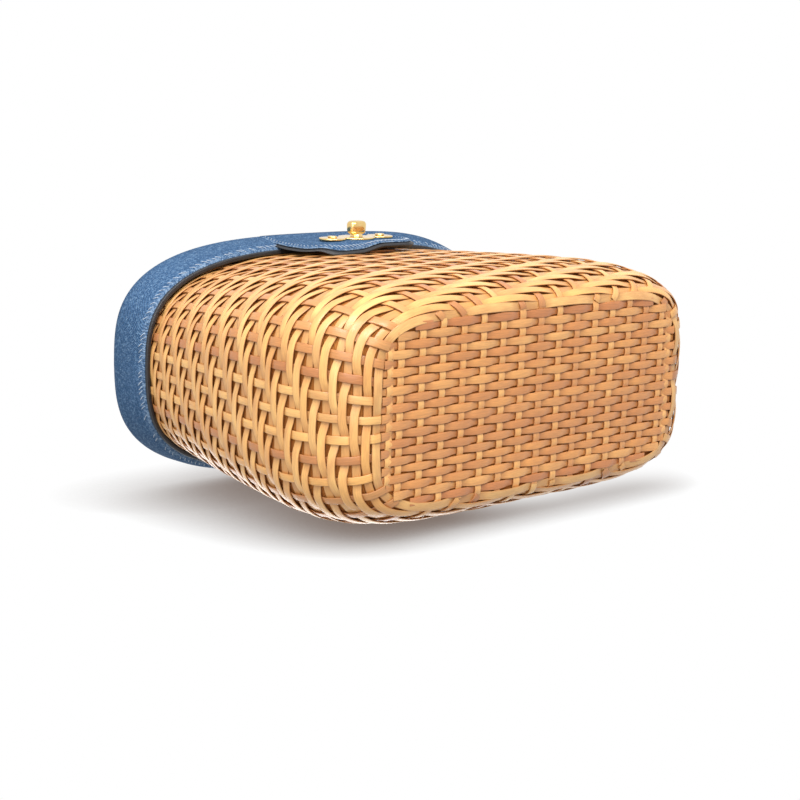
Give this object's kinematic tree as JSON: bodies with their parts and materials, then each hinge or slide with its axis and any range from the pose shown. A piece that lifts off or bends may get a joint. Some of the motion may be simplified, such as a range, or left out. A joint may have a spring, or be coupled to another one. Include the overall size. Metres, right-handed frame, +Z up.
{
  "type": "basket box bag",
  "caption": "Woven cane basket handbag with a hinged denim lid, a front flap with a brass turn lock, a leather-bound rim, cloth lining and a folding top handle.",
  "frame": {"origin": "on the ground under the middle of the basket's base", "axes": "+Z up, front with the turn lock towards -Y, +X to the right seen from the front"},
  "size_m": [0.2358, 0.1276, 0.1806],
  "materials": {
    "cane": "satin split cane, light honey weavers and browner stakes",
    "cane_base": "satin split cane, browner",
    "lining_cloth": "dark plain woven cloth",
    "black_leather": "black grained leather",
    "denim": "mid-blue washed denim twill",
    "caramel_leather": "caramel leather",
    "gold_metal": "polished pale gold plating"
  },
  "bodies": {
    "basket": {"woven_wall": "cane", "woven_base": "cane_base", "basket_lining": "lining_cloth", "rim_binding": "black_leather", "keeper_patch": "caramel_leather", "keeper_left": "gold_metal", "keeper_right": "gold_metal", "keeper_rivets": "gold_metal", "hinge_leaf_left": "black_leather", "hinge_leaf_right": "black_leather", "hinge_leaf_rivets": "gold_metal"},
    "lid": {"lid_cover": "denim", "lid_lining": "black_leather", "lid_piping": "black_leather", "flap": "denim", "flap_lining": "black_leather", "flap_welt": "black_leather", "lock_plate": "gold_metal", "lock_rivets": "gold_metal", "lock_washer": "gold_metal", "hinge_tab_left": "black_leather", "hinge_tab_right": "black_leather", "hinge_tab_rivets": "gold_metal", "handle_lug_left": "gold_metal", "handle_lug_right": "gold_metal"},
    "knob": {"turn_knob": "gold_metal", "lock_spindle": "gold_metal", "catch_bar": "gold_metal"},
    "handle": {"handle_grip": "black_leather", "handle_end_left": "gold_metal", "handle_end_right": "gold_metal"}
  },
  "joints": [
    {"name": "lid_hinge", "type": "hinge", "parent": "basket", "child": "lid", "pos_m": [0, 0.05755, 0.1441], "axis": [-1, 0, 0], "range_deg": [0, 105]},
    {"name": "knob_turn", "type": "hinge", "parent": "lid", "child": "knob", "pos_m": [0, -0.05665, 0.126], "axis": [0, 1, 0], "range_deg": [0, 90]},
    {"name": "handle_fold", "type": "hinge", "parent": "lid", "child": "handle", "pos_m": [0, -0.016, 0.1762], "axis": [1, 0, 0], "range_deg": [0, 170]}
  ]
}
